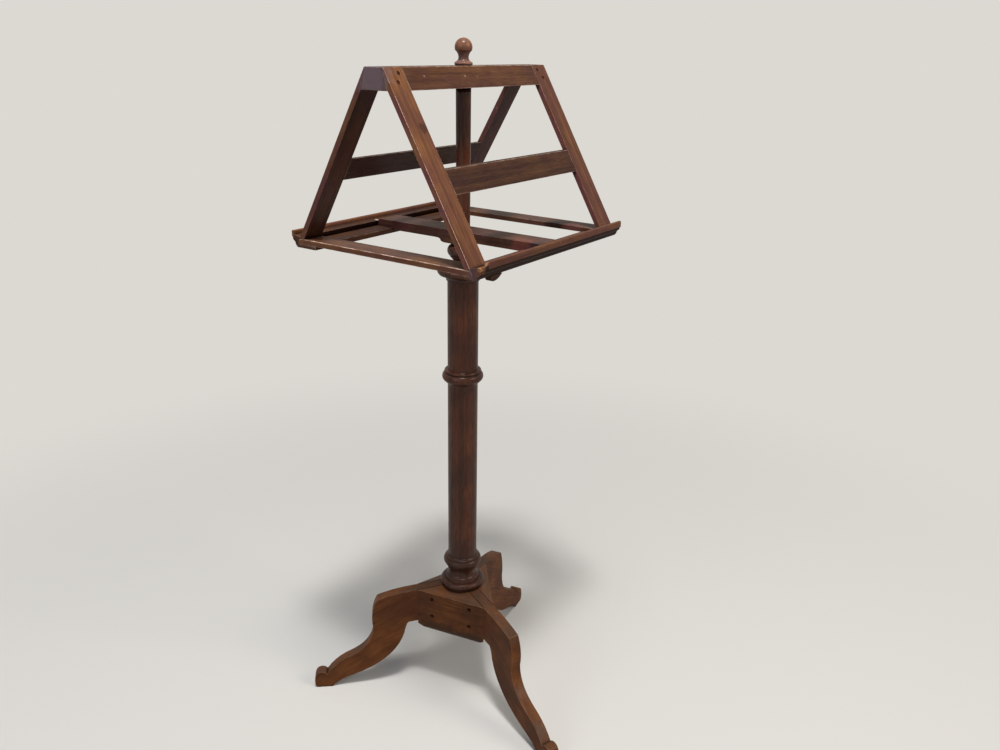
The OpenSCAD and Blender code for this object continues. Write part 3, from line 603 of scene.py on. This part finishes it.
def screw_tree():
    """Slotted wood screws on the points of a mesh, each along the point's aim."""
    tree = bpy.data.node_groups.new("slotted_screws", "GeometryNodeTree")
    tree.interface.new_socket("Places", in_out="INPUT", socket_type="NodeSocketGeometry")
    for label in ("Head Radius", "Head Height", "Shank Radius", "Length", "Slot Width"):
        tree.interface.new_socket(label, in_out="INPUT", socket_type="NodeSocketFloat")
    tree.interface.new_socket("Metal", in_out="INPUT", socket_type="NodeSocketMaterial")
    tree.interface.new_socket("Screws", in_out="OUTPUT", socket_type="NodeSocketGeometry")
    given = add(tree, "NodeGroupInput").outputs

    # Sizes and places of a screw's parts, as shares of what is given
    part = {label: add(tree, "ShaderNodeMath", {0: given[size], 1: share},
                       operation="MULTIPLY").outputs[0]
            for label, size, share in (
                ("face", "Head Radius", 0.9), ("rim", "Head Height", 0.3),
                ("disc", "Head Height", 0.7), ("disc_middle", "Head Height", 0.65),
                ("shank_middle", "Length", 0.5), ("slot_length", "Head Radius", 3.0),
                ("slot_height", "Head Height", 0.667))}

    # Head with a chamfered rim, its face at the point and its shank along +Z
    cone = add(tree, "GeometryNodeMeshCone", {"Vertices": 32, "Radius Bottom": part["face"],
                                              "Radius Top": given["Head Radius"],
                                              "Depth": part["rim"]})
    disc = add(tree, "GeometryNodeMeshCylinder", {"Vertices": 32,
                                                  "Radius": given["Head Radius"],
                                                  "Depth": part["disc"]})
    lift = add(tree, "ShaderNodeCombineXYZ", {2: part["disc_middle"]})
    disc = add(tree, "GeometryNodeTransform", {0: disc.outputs[0],
                                               "Translation": lift.outputs[0]})
    shank = add(tree, "GeometryNodeMeshCylinder", {"Vertices": 16,
                                                   "Radius": given["Shank Radius"],
                                                   "Depth": given["Length"]})
    lift = add(tree, "ShaderNodeCombineXYZ", {2: part["shank_middle"]})
    shank = add(tree, "GeometryNodeTransform", {0: shank.outputs[0],
                                                "Translation": lift.outputs[0]})
    solid = add(tree, "GeometryNodeMeshBoolean", operation="UNION")
    for piece in (cone, disc, shank):
        tree.links.new(piece.outputs[0], solid.inputs[1])
    # Driving slot, a third of the head deep, cut by a block that stands half out of the head
    size = add(tree, "ShaderNodeCombineXYZ", {0: part["slot_length"], 1: given["Slot Width"],
                                              2: part["slot_height"]})
    slot = add(tree, "GeometryNodeMeshCube", {"Size": size.outputs[0]})
    cut = add(tree, "GeometryNodeMeshBoolean", {0: solid.outputs[0], 1: slot.outputs[0]},
              operation="DIFFERENCE")

    # Every slot stands at its own angle
    aim = add(tree, "GeometryNodeInputNamedAttribute", {"Name": "aim"},
              data_type="FLOAT_VECTOR")
    along = add(tree, "FunctionNodeAlignRotationToVector", {"Vector": aim.outputs[0]},
                axis="Z")
    angle = add(tree, "FunctionNodeRandomValue", {2: 0.0, 3: math.pi, "Seed": 11},
                data_type="FLOAT")
    turn = add(tree, "FunctionNodeAxisAngleToRotation", {"Axis": (0, 0, 1),
                                                         "Angle": angle.outputs[1]})
    aimed = add(tree, "FunctionNodeRotateRotation", {0: along.outputs[0], 1: turn.outputs[0]},
                rotation_space="LOCAL")
    row = add(tree, "GeometryNodeInstanceOnPoints", {"Points": given["Places"],
                                                     "Instance": cut.outputs[0],
                                                     "Rotation": aimed.outputs[0]})
    real = add(tree, "GeometryNodeRealizeInstances", {0: row.outputs[0]})
    made = add(tree, "GeometryNodeSetMaterial", {0: real.outputs[0],
                                                 "Material": given["Metal"]})
    add(tree, "NodeGroupOutput", {0: made.outputs[0]})
    return tree


slotted_screws = screw_tree()


def screws(places, head_r, head_h, shank_r, length):
    """A plain mesh of the screws at places, each a point and its aim; sizes in mm."""
    points = bpy.data.meshes.new("screw_places")
    points.from_pydata([p for p, aim in places], [], [])
    points.attributes.new("aim", "FLOAT_VECTOR", "POINT").data.foreach_set(
        "vector", [c for p, aim in places for c in aim.normalized()])
    holder = put_in_scene("screw_holder", points)
    modifier = holder.modifiers.new("screws", "NODES")
    modifier.node_group = slotted_screws
    sizes = {"Head Radius": head_r * MM, "Head Height": head_h * MM,
             "Shank Radius": shank_r * MM, "Length": length * MM, "Slot Width": 1.0 * MM,
             "Metal": steel}
    for item in slotted_screws.interface.items_tree:
        if item.in_out == "INPUT" and item.name in sizes:
            modifier[item.identifier] = sizes[item.name]
    seen = holder.evaluated_get(bpy.context.evaluated_depsgraph_get())
    mesh = bpy.data.meshes.new_from_object(seen)
    holder.modifiers.remove(modifier)
    bpy.data.objects.remove(holder)
    return mesh


def screw_piece(name, body, meshes, replaced):
    """Joins meshes of screws into one piece, which stands for the CAD nodes replaced."""
    shape = bmesh.new()
    for mesh in meshes:
        shape.from_mesh(mesh)
    joined = bpy.data.meshes.new(name)
    shape.to_mesh(joined)
    shape.free()
    joined.materials.append(steel)
    smooth(joined)
    piece = put_in_scene(name, joined)
    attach(piece, body)
    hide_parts(*replaced)


# Four sunk screws in each hub block, square to its face
hub_places = []
for turn in BLOCK_TURNS:
    out = Vector((math.cos(math.radians(turn)), math.sin(math.radians(turn)), 0))
    beside = Vector((-out.y, out.x, 0))
    for across in (-HUB_SCREW_ASIDE, HUB_SCREW_ASIDE):
        for drop in HUB_SCREW_DROPS:
            place = out * (BLOCK_FACE - HUB_SCREW_SINK) + beside * across
            hub_places.append((at(place.x, place.y, HUB_TOP - drop), -out))
screw_piece("hub_screw_set", "base",
            [screws(hub_places, head_r=4.2, head_h=2, shank_r=2.2, length=25)],
            ["hub_screws"])

# Two screws in the top of each stile, square to its face and sunk 1 mm, and the hidden
# screws up through the long rails
stile_places, frame_places = [], []
for side in (-1, 1):
    inward = Vector((0, -side, -SLOPE)).normalized()
    for hand in (-1, 1):
        for x, drop in ((STILE_MIDDLE - 9, 9.5), (STILE_MIDDLE, 23)):
            place = at(hand * x, side * (RIDGE_HALF + drop * SLOPE), RIDGE_TOP - drop)
            stile_places.append((place + inward * MM, inward))
    for x in (-STILE_MIDDLE, STILE_MIDDLE, 0):
        frame_places.append((at(x, side * (LONG_OUT - STOCK_W / 2), LONG_LOW),
                             Vector((0, 0, 1))))
screw_piece("desk_screw_set", "head",
            [screws(stile_places, head_r=3.6, head_h=1.5, shank_r=1.6, length=16),
             screws(frame_places, head_r=3.4, head_h=1.5, shank_r=1.6, length=14)],
            ["stile_screws", "frame_screws"])


def seen_directly(tree):
    """An output that is 1 where the eye, a gloss or a clear thing shows the surround, and 0
    where it only gives light."""
    path = add(tree, "ShaderNodeLightPath").outputs
    direct = add(tree, "ShaderNodeMath", {0: path["Is Camera Ray"], 1: path["Is Glossy Ray"]},
                 operation="ADD", use_clamp=True)
    direct = add(tree, "ShaderNodeMath", {0: direct.outputs[0],
                                          1: path["Is Transmission Ray"]},
                 operation="ADD", use_clamp=True)
    return direct.outputs[0]


# Floor: a wide pale sheet that keeps the stand's shadow. Seen directly it turns, from 0.7 m
# out to 2.2 m, into the even pale of the surround. For bounced light it is a middling grey.
bpy.ops.mesh.primitive_circle_add(vertices=96, radius=40, fill_type="NGON")
floor = bpy.context.object
floor.name = "studio_floor"
material, tree, shader = new_material("pale_floor")
direct = seen_directly(tree)
paint = add(tree, "ShaderNodeMix", {0: direct, 6: "#8f8880", 7: SURROUND}, data_type="RGBA")
tree.links.new(paint.outputs[2], shader.inputs["Base Color"])
shader.inputs["Roughness"].default_value = 0.9
shader.inputs["Specular IOR Level"].default_value = 0.1
spot = add(tree, "ShaderNodeTexCoord").outputs["Object"]
far = add(tree, "ShaderNodeVectorMath", {0: spot, 1: AXIS}, operation="DISTANCE")
far = add(tree, "ShaderNodeMapRange", {0: far.outputs["Value"], 1: 0.7, 2: 2.2},
          interpolation_type="SMOOTHSTEP")
share = add(tree, "ShaderNodeMath", {0: far.outputs[0], 1: direct}, operation="MULTIPLY")
glow = add(tree, "ShaderNodeEmission", {0: SURROUND, 1: 1.0})
both = add(tree, "ShaderNodeMixShader", {0: share.outputs[0], 1: shader.outputs[0],
                                         2: glow.outputs[0]})
tree.links.new(both.outputs[0], tree.nodes["Material Output"].inputs[0])
floor.data.materials.append(material)

# Surround: dim cool light from all sides, seen directly as an even pale
world = bpy.data.worlds.new("studio")
bpy.context.scene.world = world
world.use_nodes = True
tree = world.node_tree
tree.nodes.clear()
soft = add(tree, "ShaderNodeBackground", {0: "#dfe6ee", 1: 0.2})
pale = add(tree, "ShaderNodeBackground", {0: SURROUND, 1: 1.0})
both = add(tree, "ShaderNodeMixShader", {0: seen_directly(tree), 1: soft.outputs[0],
                                         2: pale.outputs[0]})
add(tree, "ShaderNodeOutputWorld", {0: both.outputs[0]})


def soft_box(name, place, size, watts, tint="#ffffff"):
    """A square lamp of a size in metres, which faces the middle of the stand."""
    lamp = bpy.data.lights.new(name, "AREA")
    lamp.size = size
    lamp.energy = watts
    lamp.color = linear(tint)[:3]
    holder = put_in_scene(name, lamp)
    holder.location = place
    aim = at(0, 0, 800) - Vector(place)
    holder.rotation_euler = aim.to_track_quat("-Z", "Y").to_euler()


soft_box("skylight", (-1.5, -1.1, 6.6), 2.4, 85)
soft_box("ceiling_lamp", (-1.3, -1.1, 6.2), 0.8, 215)
soft_box("key_window", (1.2, -6.2, 4.4), 3.2, 175, "#fff4e6")
soft_box("side_window", (-6.4, 0.4, 3.2), 4.0, 85, "#eaf0ff")

# Camera at the viewing angle of the photograph
camera = put_in_scene("camera", bpy.data.cameras.new("camera"))
camera.location = AXIS + Vector((-1.3228, -1.00363, 1.37177))
camera.rotation_euler = Euler([math.radians(a) for a in (69.3139, -0.98515, -55.03801)])
camera.data.lens = 31.5523
camera.data.sensor_width = 36
bpy.context.scene.camera = camera
bpy.context.scene.view_settings.view_transform = "Standard"
